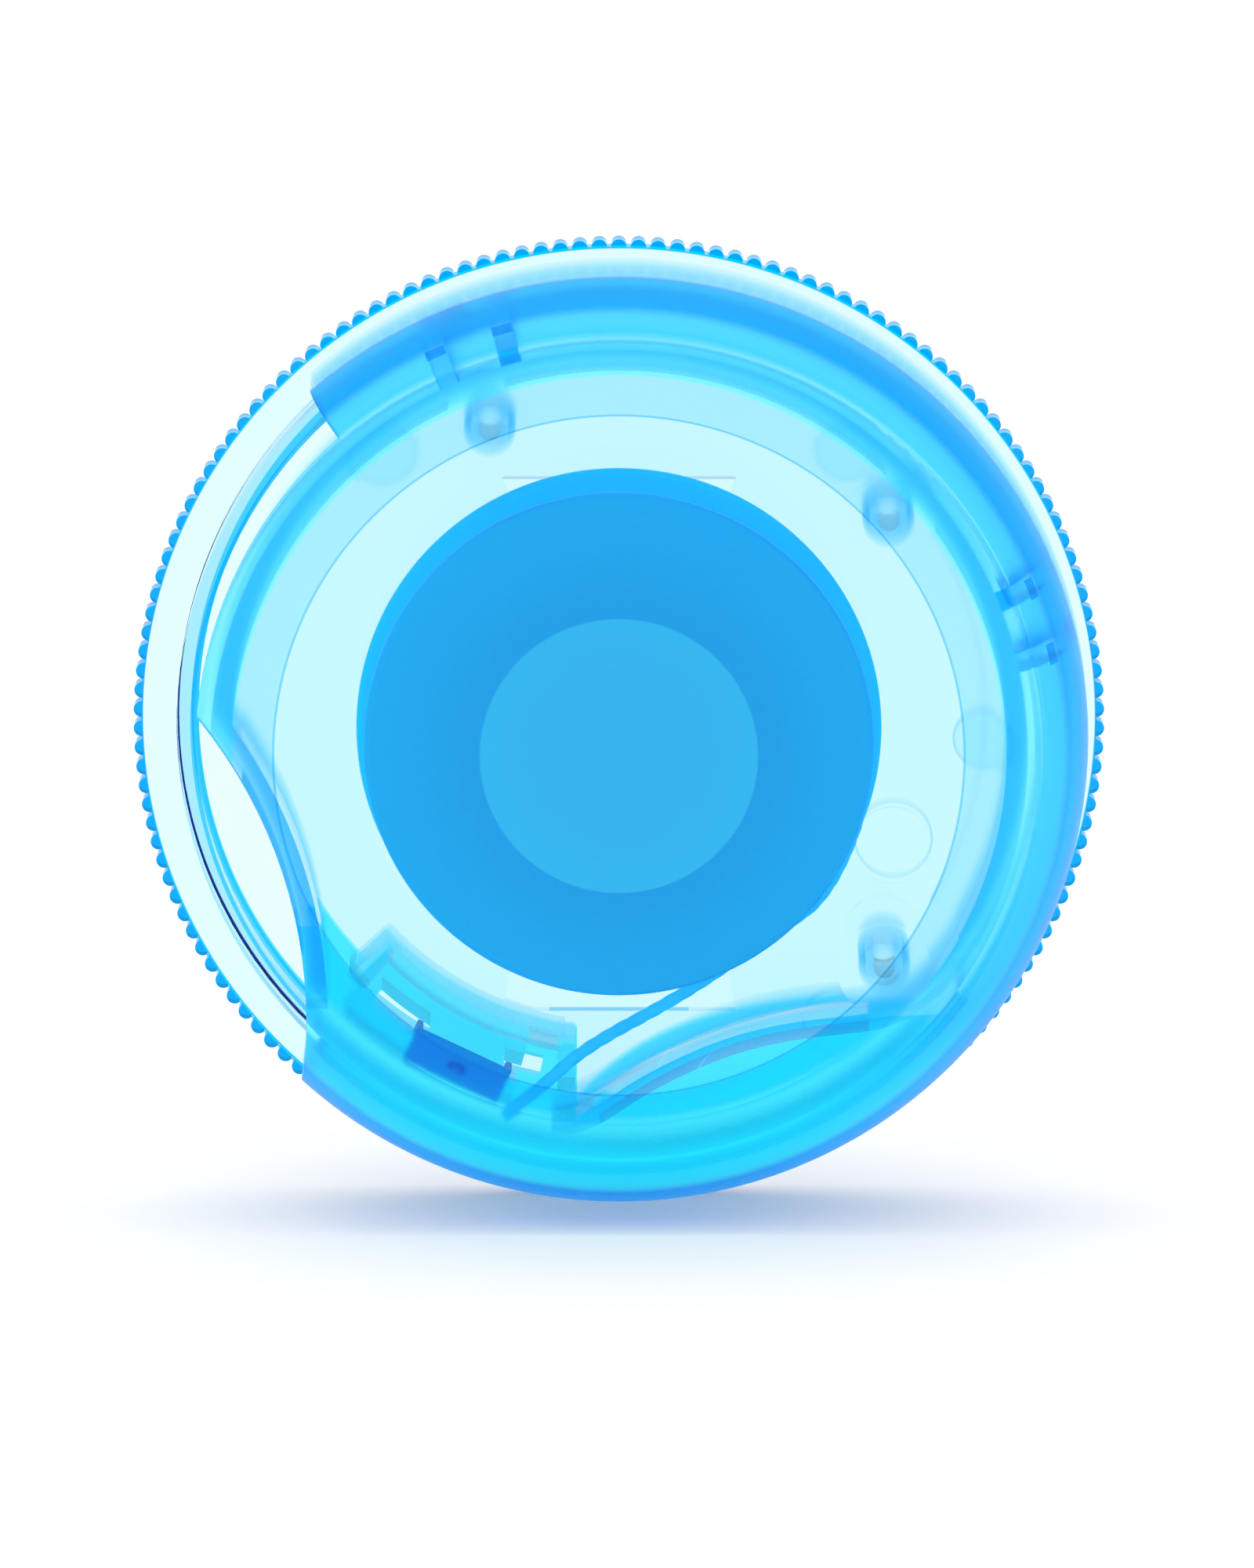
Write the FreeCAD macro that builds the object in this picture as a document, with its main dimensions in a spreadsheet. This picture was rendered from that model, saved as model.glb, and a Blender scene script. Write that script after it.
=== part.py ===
import FreeCAD, Part
import Sketcher
import math
import os

os.makedirs("parts", exist_ok=True)

# A round twist-to-open floss dispenser, stood on its rim with its clear front to the viewer.
# Every piece is drawn in the case's own frame: the case axis is local Z, from the rear face
# (zero) to the front face (case_depth), and local X and Y are right and up from the front.
# One placement then stands the case up, with local Z towards the viewer.

doc = FreeCAD.newDocument("floss_dispenser")
sheet = doc.addObject("Spreadsheet::Sheet", "Sizes")

# Driving dimensions in millimetres, angles in degrees counter-clockwise from the front.
DRIVING = [
    ("case_depth", 16.0, "front face to rear face"),
    ("wall", 1.3, "wall of the clear front cover"),
    ("cover_radius", 28.9, "outside of the front cover"),
    ("shoulder_depth", 6.0, "front face to the straight side wall"),
    ("shoulder_reach", 2.9, "side wall to the flat of the front face"),
    ("edge_round", 0.5, "round of the front edge"),
    ("window_border", 4.8, "flat of the front face outside the polished window"),
    ("window_step", 0.06, "depth of the step round the window"),
    ("lead_wall_thick", 1.1, "wall that leads the floss to the cutter"),
    ("channel_width", 2.5, "channel between the side wall and the wall round the spool chamber"),
    ("chamber_first_angle", -28.9, "lower right end of the wall round the spool chamber"),
    ("chamber_last_angle", 181.0, "left end of that wall"),
    ("bite_radius_share", 1.0415225, "curve of the finger bite, by the cover's radius"),
    ("bite_right_share", -1.7058824, "centre of the bite, right of the case axis"),
    ("bite_up_share", -0.5709343, "centre of the bite, above the case axis"),
    ("bite_wall_first", 1.0, "lower end of the wall along the bite, round the bite's centre"),
    ("bite_wall_last", 36.0, "upper end of that wall"),
    ("notch_first_angle", 131.0, "upper end of the finger notch"),
    ("notch_last_angle", 222.0, "where the bite alone bounds the notch"),
    ("notch_end_angle", 227.4, "where the bite meets the side wall"),
    ("rib_width_angle", 2.6, "width of a stop rib"),
    ("open_stop_angle", 114.3, "stop rib of the open position"),
    ("open_detent_angle", 105.2, "detent rib of the open position"),
    ("shut_stop_angle", 13.1, "stop rib of the shut position"),
    ("shut_detent_angle", 22.0, "detent rib of the shut position"),
    ("detent_reach", 1.8, "how far a detent rib stands in from the side wall"),
    ("tab_width_angle", 3.0, "width of the tab that runs between the stops"),
    ("tab_rise", 2.2, "height of the tab above the lip"),
    ("stop_gap_angle", 0.3, "play between the tab and a stop"),
    ("shutter_lap_angle", 1.5, "how far the shut shutter passes the ends of the notch"),
    ("knurl_reach", 1.1, "how far the knurled rim stands out past the cover"),
    ("knurl_bump_radius", 0.5, "round of one knurl bump"),
    ("knurl_count", 154.0, "bumps round the rim"),
    ("flange_height", 3.1, "front of the knurled flange above the rear face"),
    ("flange_thick", 1.5, "thickness of the knurled flange"),
    ("base_floor", 1.2, "floor of the turning base"),
    ("lip_wall", 1.1, "wall of the lip"),
    ("lip_rise", 2.2, "height of the lip above the flange"),
    ("shutter_inset", 1.0, "outside of the lip to the outside of the shutter"),
    ("shutter_wall", 0.6, "wall of the shutter"),
    ("shutter_top_gap", 1.3, "gap in front of the shutter"),
    ("rear_dimple_radius", 2.6, "gate dimple in the rear face"),
    ("rear_dimple_depth", 0.4, "depth of the gate dimple"),
    ("mark_depth", 0.15, "depth of the ejector marks"),
    ("carrier_thick", 1.2, "plate of the spool carrier"),
    ("carrier_inset", 0.5, "running gap between the carrier's edge and the shutter"),
    ("carrier_gap", 0.4, "running gap between the carrier and the base"),
    ("opening_far_share", 0.444444, "half width of the openings at their far side, by the spool"),
    ("opening_near_share", 0.345679, "half width of the openings at their near side"),
    ("opening_start_share", 0.555556, "near side of the openings from the axis"),
    ("upper_reach_share", 0.925926, "far side of the upper opening from the axis"),
    ("lower_opening_inset", 0.7, "far side of the lower opening to the cutter block"),
    ("collar_radius", 5.2, "shoulder that the spool turns on"),
    ("axle_radius", 3.0, "axle of the spool"),
    ("axle_wall", 1.0, "wall of the hollow axle"),
    ("axle_bead", 0.25, "bead that keeps the spool on its axle"),
    ("bead_gap", 0.12, "play of the bead in the groove of the spool"),
    ("axle_bead_height", 0.7, "height of that bead"),
    ("pin_radius", 1.05, "pins that join the carrier to the cover"),
    ("pin_wall", 0.4, "wall of the pins, which are cored from the rear"),
    ("boss_radius", 1.6, "bosses of the cover round the pins"),
    ("foot_radius", 2.4, "foot of each pin on the carrier"),
    ("foot_height", 0.2, "height of that foot"),
    ("block_gap", 4.7, "cutter block to the inside of the chamber wall's circle"),
    ("block_wall", 1.0, "wall of the cutter block"),
    ("block_end_depth", 3.3, "left side of the block, from its inner wall outwards"),
    ("block_end_angle", 3.0, "width of that side"),
    ("platform_inset", 0.7, "outer side of the cutter's platform to the carrier's edge"),
    ("block_first_angle", 222.0, "left end of the cutter block"),
    ("block_last_angle", 260.0, "right end of the cutter block"),
    ("platform_first_angle", 226.0, "left end of the platform under the cutter"),
    ("platform_last_angle", 254.0, "right end of that platform"),
    ("slot_depth", 2.8, "inner wall of the block to the cutter's slots"),
    ("slot_width", 1.1, "width of the slots"),
    ("left_slot_angle", 9.9, "length of the left slot"),
    ("right_slot_angle", 6.5, "length of the right slot"),
    ("block_top", 9.0, "top of the block's wall above the rear face"),
    ("platform_top", 7.0, "platform under the cutter above the rear face"),
    ("guide_width", 1.1, "rib that guides the floss over the block"),
    ("guide_right", 2.7, "right face of the guide rib, left of the axis"),
    ("guide_depth", 3.3, "inner wall of the block to the far end of the guide rib"),
    ("spool_gap", 7.6, "rear flange of the spool to the chamber wall"),
    ("flange_inset", 0.5, "how much smaller the front flange of the spool is"),
    ("flange_wall", 0.8, "flanges of the spool"),
    ("spool_bottom", 5.4, "rear flange above the rear face"),
    ("spool_height", 6.6, "spool, flange to flange"),
    ("hub_radius", 7.5, "hub of the spool"),
    ("flange_round", 0.3, "round of the flange edges"),
    ("floss_diameter", 1.0, "waxed floss"),
    ("winding_inset", 1.4, "rear flange of the spool to the outside of the floss"),
    ("floss_pitch", 1.45, "step of the outer turns"),
    ("floss_sink", 0.2, "how far the outer turns sink into the floss below"),
    ("blade_length", 6.4, "cutter plate"),
    ("blade_width", 2.2, "cutter plate"),
    ("blade_thick", 0.35, "cutter sheet"),
    ("blade_leg", 2.4, "folded legs of the cutter"),
    ("leg_width", 0.6, "width of a leg"),
    ("blade_angle", 244.5, "where the cutter sits"),
    ("blade_depth", 4.1, "inner wall of the block to the middle of the cutter"),
    ("tooth_height", 0.9, "cutting tooth above the plate"),
    ("tooth_width", 1.3, "cutting tooth"),
    ("joint_gap", 0.3, "gap between pieces that turn past each other"),
    ("bore_gap", 0.06, "radial play of the spool on its axle"),
    ("fit_gap", 0.1, "gap between a pin or leg and its hole"),
    ("overrun", 0.5, "how far a cut or a root runs past a face"),
]
# Heights and radii that follow from them.
DERIVED = [
    ("knurl_crest_radius", "cover_radius + knurl_reach"),
    ("axis_height", "knurl_crest_radius"),
    ("face_radius", "cover_radius - shoulder_reach"),
    ("window_radius", "face_radius - window_border"),
    ("bite_radius", "cover_radius * bite_radius_share"),
    ("bite_right", "cover_radius * bite_right_share"),
    ("bite_up", "cover_radius * bite_up_share"),
    ("half_depth", "case_depth / 2"),
    ("plate_inner", "case_depth - wall"),
    ("shoulder_base", "case_depth - shoulder_depth"),
    ("side_inner", "cover_radius - wall"),
    ("shoulder_radius", "(shoulder_depth ^ 2 + (cover_radius - face_radius) ^ 2)"
     " / (2 * (cover_radius - face_radius))"),
    ("shoulder_right", "cover_radius - shoulder_radius"),
    ("corner_right", "shoulder_right + sqrt((shoulder_radius - wall) ^ 2"
     " - (plate_inner - shoulder_base) ^ 2)"),
    ("rib_corner_right", "shoulder_right + sqrt((shoulder_radius - wall / 2) ^ 2"
     " - (plate_inner + wall / 2 - shoulder_base) ^ 2)"),
    ("round_right", "shoulder_right + sqrt((shoulder_radius - edge_round) ^ 2"
     " - (shoulder_depth - edge_round) ^ 2)"),
    ("touch_right", "shoulder_right + (round_right - shoulder_right)"
     " * shoulder_radius / (shoulder_radius - edge_round)"),
    ("touch_up", "shoulder_base + (shoulder_depth - edge_round)"
     " * shoulder_radius / (shoulder_radius - edge_round)"),
    ("cover_rear", "flange_height + joint_gap"),
    ("carrier_rear", "base_floor + carrier_gap"),
    ("carrier_front", "carrier_rear + carrier_thick"),
    ("wall_rear", "carrier_front + joint_gap"),
    ("wall_depth", "plate_inner - wall_rear + overrun"),
    ("inner_wall_radius", "side_inner - channel_width"),
    ("chamber_radius", "inner_wall_radius - wall"),
    ("knurl_root_radius", "knurl_crest_radius - knurl_bump_radius"),
    ("lip_top", "flange_height + lip_rise"),
    ("lip_radius", "side_inner - joint_gap"),
    ("lip_inner", "lip_radius - lip_wall"),
    ("tab_top", "lip_top + tab_rise"),
    ("stop_rear", "lip_top + joint_gap"),
    ("detent_rear", "tab_top + joint_gap"),
    ("shutter_top", "plate_inner - shutter_top_gap"),
    ("shutter_radius", "lip_radius - shutter_inset"),
    ("shutter_inner", "shutter_radius - shutter_wall"),
    ("carrier_radius", "shutter_inner - carrier_inset"),
    ("open_tab_angle",
     "open_stop_angle - rib_width_angle / 2 - stop_gap_angle - tab_width_angle / 2"),
    ("travel_angle", "open_stop_angle - shut_stop_angle - rib_width_angle - tab_width_angle"
     " - 2 * stop_gap_angle"),
    ("shutter_first_angle", "notch_first_angle + travel_angle - shutter_lap_angle"),
    ("shutter_last_angle", "notch_end_angle + travel_angle + shutter_lap_angle"),
    ("block_radius", "chamber_radius - block_gap"),
    ("block_end_reach", "block_radius + block_end_depth"),
    ("block_outer", "carrier_radius - platform_inset"),
    ("slot_inner", "block_radius + slot_depth"),
    ("leg_angle", "atan((blade_length / 2 - blade_thick - joint_gap) / slot_inner) / 1 deg"),
    ("left_slot_last_angle", "blade_angle - leg_angle"),
    ("left_slot_first_angle", "left_slot_last_angle - left_slot_angle"),
    ("right_slot_first_angle", "blade_angle + leg_angle"),
    ("right_slot_last_angle", "right_slot_first_angle + right_slot_angle"),
    ("guide_reach", "block_radius + guide_depth"),
    ("blade_circle", "block_radius + blade_depth"),
    ("blade_right", "blade_circle * cos(blade_angle)"),
    ("blade_height", "axis_height + blade_circle * sin(blade_angle)"),
    ("spool_radius", "chamber_radius - spool_gap"),
    ("front_flange_radius", "spool_radius - flange_inset"),
    ("winding_radius", "spool_radius - winding_inset"),
    ("opening_half_width", "spool_radius * opening_far_share"),
    ("opening_waist", "spool_radius * opening_near_share"),
    ("opening_start", "spool_radius * opening_start_share"),
    ("upper_reach", "spool_radius * upper_reach_share"),
    ("lower_reach", "block_radius - lower_opening_inset"),
    ("spool_top", "spool_bottom + spool_height"),
    ("collar_top", "spool_bottom - fit_gap"),
    ("cap_inner", "spool_top - flange_wall"),
    ("axle_top", "cap_inner - fit_gap"),
    ("groove_rear", "axle_top - axle_bead_height - bead_gap"),
    ("groove_radius", "axle_radius + axle_bead + bead_gap"),
    ("spool_bore", "axle_radius + bore_gap"),
    ("pin_top", "plate_inner - joint_gap"),
    ("boss_bore", "pin_radius + fit_gap"),
    ("floss_radius", "floss_diameter / 2"),
    ("floss_height", "spool_bottom + spool_height / 2"),
]

for row, (alias, value, note) in enumerate(DRIVING, start=1):
    sheet.set("A%d" % row, alias)
    sheet.set("B%d" % row, str(value))
    sheet.setAlias("B%d" % row, alias)
    sheet.set("C%d" % row, note)
for row, (alias, formula) in enumerate(DERIVED, start=len(DRIVING) + 1):
    sheet.set("A%d" % row, alias)
    sheet.set("B%d" % row, "=" + formula)
    sheet.setAlias("B%d" % row, alias)
doc.recompute()


def size(alias):
    """The value of one cell of the sheet."""
    return float(getattr(sheet, alias))


def bind(obj, prop, formula):
    """Ties a property to the sheet; names in the formula are cells."""
    words = formula.replace("(", " ( ").replace(")", " ) ").split()
    text = " ".join("Sizes." + word if word[0].isalpha() else word for word in words)
    obj.setExpression(prop, text)


def worked_out(formula):
    """The same formula as a number, for the first guess of a sketch."""
    total = 0.0
    sign = 1.0
    factor = 1.0
    operator = "*"
    for word in formula.split() + ["+"]:
        if word in ("+", "-"):
            total += sign * factor
            sign = 1.0 if word == "+" else -1.0
            factor = 1.0
            operator = "*"
        elif word in ("*", "/"):
            operator = word
        else:
            number = size(word) if word[0].isalpha() else float(word)
            factor = factor * number if operator == "*" else factor / number
    return total


def origin_plane(body, role):
    """One of a body's own origin planes."""
    return [feature for feature in body.Origin.OriginFeatures if feature.Role == role][0]


def new_body(name):
    """An empty body, stood up on the case axis."""
    body = doc.addObject("PartDesign::Body", name)
    stand_up(body)
    return body


def stand_up(obj):
    """Turns the case axis towards the viewer and lifts it to its height."""
    obj.Placement = FreeCAD.Placement(FreeCAD.Vector(0, 0, 0),
                                      FreeCAD.Rotation(FreeCAD.Vector(1, 0, 0), 90))
    bind(obj, "Placement.Base.y", "half_depth")
    bind(obj, "Placement.Base.z", "axis_height")


def new_sketch(body, name, level=None, role="XY_Plane"):
    """A sketch on one of the body's planes, lifted to a level of the sheet."""
    sketch = body.newObject("Sketcher::SketchObject", name)
    sketch.AttachmentSupport = (origin_plane(body, role), [""])
    sketch.MapMode = "FlatFace"
    if level:
        bind(sketch, "AttachmentOffset.Base.z", level)
    return sketch


def hold_distance(sketch, kind, geometry, point, formula):
    """Holds one point of a sketch at a signed distance from the origin."""
    value = worked_out(formula)
    index = sketch.addConstraint(Sketcher.Constraint(kind, -1, 1, geometry, point, value))
    bind(sketch, "Constraints[%d]" % index, formula)


def hold_radius(sketch, geometry, formula):
    """Holds the radius of a circle or an arc."""
    index = sketch.addConstraint(
        Sketcher.Constraint("Radius", geometry, worked_out(formula)))
    bind(sketch, "Constraints[%d]" % index, formula)


def draw_circle(sketch, radius, right=None, up=None):
    """A circle of a named radius, on the axis or at a named place."""
    place = FreeCAD.Vector(worked_out(right) if right else 0, worked_out(up) if up else 0, 0)
    circle = sketch.addGeometry(
        Part.Circle(place, FreeCAD.Vector(0, 0, 1), worked_out(radius)), False)
    if right:
        hold_distance(sketch, "DistanceX", circle, 3, right)
    if up:
        hold_distance(sketch, "DistanceY", circle, 3, up)
    elif right:
        sketch.addConstraint(Sketcher.Constraint("PointOnObject", circle, 3, -1))
    else:
        sketch.addConstraint(Sketcher.Constraint("Coincident", circle, 3, -1, 1))
    hold_radius(sketch, circle, radius)
    return circle


def draw_sector(sketch, inner, outer, first, last, right=None, up=None):
    """A piece of a ring between two radii and two angles."""
    centre = FreeCAD.Vector(worked_out(right) if right else 0, worked_out(up) if up else 0, 0)
    turns = [math.radians(worked_out(first)), math.radians(worked_out(last))]
    arcs = []
    for radius in (inner, outer):
        circle = Part.Circle(centre, FreeCAD.Vector(0, 0, 1), worked_out(radius))
        arc = sketch.addGeometry(Part.ArcOfCircle(circle, turns[0], turns[1]), False)
        arcs.append(arc)
        if arcs[0] != arc:
            sketch.addConstraint(Sketcher.Constraint("Coincident", arc, 3, arcs[0], 3))
        elif right:
            hold_distance(sketch, "DistanceX", arc, 3, right)
            hold_distance(sketch, "DistanceY", arc, 3, up)
        else:
            sketch.addConstraint(Sketcher.Constraint("Coincident", arc, 3, -1, 1))
        hold_radius(sketch, arc, radius)
    for end, (angle, formula) in enumerate(zip(turns, (first, last)), start=1):
        ray = FreeCAD.Vector(math.cos(angle), math.sin(angle), 0)
        side = sketch.addGeometry(Part.LineSegment(centre + ray * worked_out(inner),
                                                   centre + ray * worked_out(outer)), False)
        sketch.addConstraint(Sketcher.Constraint("Coincident", side, 1, arcs[0], end))
        sketch.addConstraint(Sketcher.Constraint("Coincident", side, 2, arcs[1], end))
        sketch.addConstraint(Sketcher.Constraint("PointOnObject", arcs[0], 3, side))
        index = sketch.addConstraint(Sketcher.Constraint("Angle", side, angle))
        bind(sketch, "Constraints[%d]" % index, formula)


def draw_outline(sketch, corners):
    """A closed outline through named corners.

    A corner that also names a centre starts an arc about it; the others start a line.
    """
    places = [FreeCAD.Vector(worked_out(corner[0]), worked_out(corner[1]), 0)
              for corner in corners]
    count = len(places)
    ends = []
    for index, corner in enumerate(corners):
        start, end = places[index], places[(index + 1) % count]
        ends.append((1, 2))
        if len(corner) == 2:
            sketch.addGeometry(Part.LineSegment(start, end), False)
            continue
        centre = FreeCAD.Vector(*(worked_out(formula) for formula in corner[2:]), 0)
        out, back = start - centre, end - centre
        turns = (math.atan2(out.y, out.x), math.atan2(back.y, back.x))
        circle = Part.Circle(centre, FreeCAD.Vector(0, 0, 1), out.Length)
        sketch.addGeometry(Part.ArcOfCircle(circle, min(turns), max(turns)), False)
        if turns[0] > turns[1]:
            ends[-1] = (2, 1)
    for index in range(count):
        following = (index + 1) % count
        sketch.addConstraint(Sketcher.Constraint(
            "Coincident", index, ends[index][1], following, ends[following][0]))
    for index, corner in enumerate(corners):
        if corner[0] == "0":
            sketch.addConstraint(Sketcher.Constraint("PointOnObject", index, ends[index][0], -2))
        else:
            hold_distance(sketch, "DistanceX", index, ends[index][0], corner[0])
        hold_distance(sketch, "DistanceY", index, ends[index][0], corner[1])
        if corner[2:]:
            hold_distance(sketch, "DistanceY", index, 3, corner[3])


def pad(body, sketch, length, name):
    """Raises a sketch towards the front."""
    feature = body.newObject("PartDesign::Pad", name)
    feature.Profile = sketch
    bind(feature, "Length", length)
    return feature


def pocket(body, sketch, length, name, towards_front=True):
    """Cuts a sketch towards the front, or towards the rear."""
    feature = body.newObject("PartDesign::Pocket", name)
    feature.Profile = sketch
    feature.Reversed = towards_front
    bind(feature, "Length", length)
    return feature


def ring(body, name, outer, inner, level, length):
    """A ring or a disc from a level of the sheet."""
    sketch = new_sketch(body, name + "_sketch", level)
    draw_circle(sketch, outer)
    if inner:
        draw_circle(sketch, inner)
    return pad(body, sketch, length, name)


def sector(body, name, inner, outer, first, last, level, length, right=None, up=None):
    """A curved wall from a level of the sheet."""
    sketch = new_sketch(body, name + "_sketch", level)
    draw_sector(sketch, inner, outer, first, last, right, up)
    return pad(body, sketch, length, name)


# Pins and bosses that join the carrier to the cover: angle, and place as a share of the
# spool chamber's radius.
PIN_PLACE_SHARES = ((111.6, 0.903), (41.0, 0.92), (-39.6, 0.89))
# Ejector marks of the base: angle, place as a share of the lip's radius, radius as a share
# of the pins' feet.
MARK_PLACE_SHARES = ((132.0, 0.795, 0.87), (49.0, 0.785, 0.85), (-5.0, 0.83, 0.83),
                     (-56.0, 0.865, 0.85), (-26.0, 0.69, 1.0))


def polar_place(radius, share, angle):
    """A place round the case axis as two formulas of the sheet."""
    across = round(share * math.cos(math.radians(angle)), 6)
    upward = round(share * math.sin(math.radians(angle)), 6)
    return "%s * %s" % (radius, across), "%s * %s" % (radius, upward)


def pin_places():
    """The pins as (right, up) formulas of the sheet."""
    return [polar_place("chamber_radius", share, angle) for angle, share in PIN_PLACE_SHARES]


# Two sizes are the same when they differ by less than this share.
SAME_SHARE = 1e-6


def round_edges(body, name, places, radius):
    """Rounds a body's circular edges at the given radii and levels of the case axis."""
    doc.recompute()
    last = body.Tip
    edges = []
    for index, edge in enumerate(last.Shape.Edges, start=1):
        if not hasattr(edge.Curve, "Radius"):
            continue
        for edge_radius, level in places:
            same = SAME_SHARE * worked_out(edge_radius)
            if (abs(edge.Curve.Radius - worked_out(edge_radius)) < same
                    and abs(edge.Curve.Center.z - worked_out(level)) < same):
                edges.append("Edge%d" % index)
    feature = body.newObject("PartDesign::Fillet", name)
    feature.Base = (last, edges)
    bind(feature, "Radius", radius)
    return feature


def wall_along(points, thickness, rear, height):
    """An upright wall of even thickness along a smooth line through some points."""
    line = Part.BSplineCurve()
    line.interpolate(points)
    steps = len(points) - 1
    sides = ([], [])
    for index in range(2 * steps + 1):
        share = index / (2 * steps)
        place = line.value(line.FirstParameter
                           + share * (line.LastParameter - line.FirstParameter))
        along = line.tangent(line.FirstParameter
                             + share * (line.LastParameter - line.FirstParameter))[0]
        across = FreeCAD.Vector(-along.y, along.x, 0)
        sides[0].append(place + across * (thickness / 2))
        sides[1].append(place - across * (thickness / 2))
    curves = []
    for side in sides:
        curve = Part.BSplineCurve()
        curve.interpolate(side)
        curves.append(curve.toShape())
    ends = [Part.makeLine(sides[0][index], sides[1][index]) for index in (0, -1)]
    outline = Part.Wire(Part.__sortEdges__(curves + ends))
    wall = Part.Face(outline)
    wall.translate(FreeCAD.Vector(0, 0, rear))
    return wall.extrude(FreeCAD.Vector(0, 0, height))


# Front cover: one moulding with a flat clear face, a rounded shoulder and a side wall, an
# inner wall round the spool chamber, a finger notch on the left, stop ribs and bosses.
cover = new_body("front_cover_body")
profile = new_sketch(cover, "shell_profile", role="XZ_Plane")
draw_outline(profile, (
    ("0", "case_depth"),
    ("round_right", "case_depth", "round_right", "case_depth - edge_round"),
    ("touch_right", "touch_up", "shoulder_right", "shoulder_base"),
    ("cover_radius", "shoulder_base"), ("cover_radius", "cover_rear"),
    ("side_inner", "cover_rear"),
    ("side_inner", "shoulder_base", "shoulder_right", "shoulder_base"),
    ("corner_right", "plate_inner"), ("0", "plate_inner")))
shell = cover.newObject("PartDesign::Revolution", "shell")
shell.Profile = profile
shell.ReferenceAxis = (profile, ["V_Axis"])
shell.Angle = 360

step_sketch = new_sketch(cover, "window_step_sketch", "case_depth - window_step")
draw_circle(step_sketch, "window_radius")
pocket(cover, step_sketch, "window_step + overrun", "window_step")
sector(cover, "chamber_wall", "chamber_radius", "inner_wall_radius", "chamber_first_angle",
       "chamber_last_angle", "wall_rear", "wall_depth")
for name, inner, level in (
        ("open_stop", "chamber_radius + wall / 2", "stop_rear"),
        ("shut_stop", "chamber_radius + wall / 2", "stop_rear"),
        ("open_detent", "side_inner - detent_reach", "detent_rear"),
        ("shut_detent", "side_inner - detent_reach", "detent_rear")):
    rib_sketch = new_sketch(cover, name + "_sketch", role="XZ_Plane")
    draw_outline(rib_sketch, (
        (inner, level), (inner, "plate_inner + wall / 2"),
        ("rib_corner_right", "plate_inner + wall / 2", "shoulder_right", "shoulder_base"),
        ("cover_radius - wall / 2", "shoulder_base"), ("cover_radius - wall / 2", level)))
    rib_sketch.AttachmentOffset = FreeCAD.Placement(
        FreeCAD.Vector(0, 0, 0), FreeCAD.Rotation(FreeCAD.Vector(0, 1, 0), size(name + "_angle")))
    bind(rib_sketch, "AttachmentOffset.Rotation.Angle", name + "_angle")
    rib = cover.newObject("PartDesign::Revolution", name)
    rib.Profile = rib_sketch
    rib.ReferenceAxis = (rib_sketch, ["V_Axis"])
    rib.Midplane = True
    bind(rib, "Angle", "rib_width_angle")
boss_sketch = new_sketch(cover, "boss_sketch", "carrier_front + foot_height + joint_gap")
for right, up in pin_places():
    draw_circle(boss_sketch, "boss_radius", right, up)
pad(cover, boss_sketch,
    "plate_inner + overrun - carrier_front - foot_height - joint_gap", "bosses")
bore_sketch = new_sketch(cover, "bore_sketch", "carrier_front")
for right, up in pin_places():
    draw_circle(bore_sketch, "boss_bore", right, up)
pocket(cover, bore_sketch, "plate_inner - carrier_front", "bores")
notch_sketch = new_sketch(cover, "notch_sketch", "cover_rear - overrun")
draw_sector(notch_sketch, "face_radius", "cover_radius + overrun", "notch_first_angle",
            "notch_last_angle")
pocket(cover, notch_sketch, "case_depth - cover_rear + 2 * overrun", "notch")
sector(cover, "bite_wall", "bite_radius - overrun", "bite_radius + wall", "bite_wall_first",
       "bite_wall_last", "wall_rear", "wall_depth", "bite_right", "bite_up")
bite_sketch = new_sketch(cover, "bite_sketch", "wall_rear - overrun")
draw_circle(bite_sketch, "bite_radius", "bite_right", "bite_up")
pocket(cover, bite_sketch, "case_depth - wall_rear + 2 * overrun", "bite")

# The wall swings inward at the lower right to lead the floss to the cutter.
LEAD_WALL_SHARES = ((0.868, -0.442), (0.853, -0.470), (0.779, -0.578), (0.667, -0.655),
                    (0.542, -0.678), (0.331, -0.713), (0.159, -0.777), (0.016, -0.857),
                    (-0.072, -0.912), (-0.165, -0.934))
lead_wall = doc.addObject("Part::Feature", "lead_wall")
lead_points = [FreeCAD.Vector(right, up, 0) * size("inner_wall_radius")
               for right, up in LEAD_WALL_SHARES]
lead_wall.Shape = wall_along(lead_points, size("lead_wall_thick"), size("wall_rear"),
                             size("wall_depth"))
stand_up(lead_wall)
front_cover = doc.addObject("Part::Fuse", "front_cover")
front_cover.Base = cover
front_cover.Tool = lead_wall

# Turning base: a shallow dish with a knurled flange, a lip that runs inside the cover, a
# tall shutter wall that closes the finger notch, and a tab that runs between the stops.
base = new_body("knurled_base")
ring(base, "floor", "lip_radius", None, None, "base_floor")
ring(base, "lip", "lip_radius", "lip_inner", None, "lip_top")
ring(base, "flange", "knurl_root_radius", "lip_inner + lip_wall / 2",
     "flange_height - flange_thick", "flange_thick")
sector(base, "shutter", "shutter_inner", "shutter_radius", "shutter_first_angle",
       "shutter_last_angle", "base_floor - overrun", "shutter_top - base_floor + overrun")
sector(base, "tab", "lip_inner", "lip_radius", "open_tab_angle - tab_width_angle / 2",
       "open_tab_angle + tab_width_angle / 2", "lip_top - overrun", "tab_rise + overrun")
mark_sketch = new_sketch(base, "mark_sketch", "base_floor - mark_depth")
for angle, place_share, radius_share in MARK_PLACE_SHARES:
    right, up = polar_place("lip_radius", place_share, angle)
    draw_circle(mark_sketch, "foot_radius * %s" % radius_share, right, up)
pocket(base, mark_sketch, "mark_depth + overrun", "ejector_marks")
dimple_sketch = new_sketch(base, "dimple_sketch")
draw_circle(dimple_sketch, "rear_dimple_radius")
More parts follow.
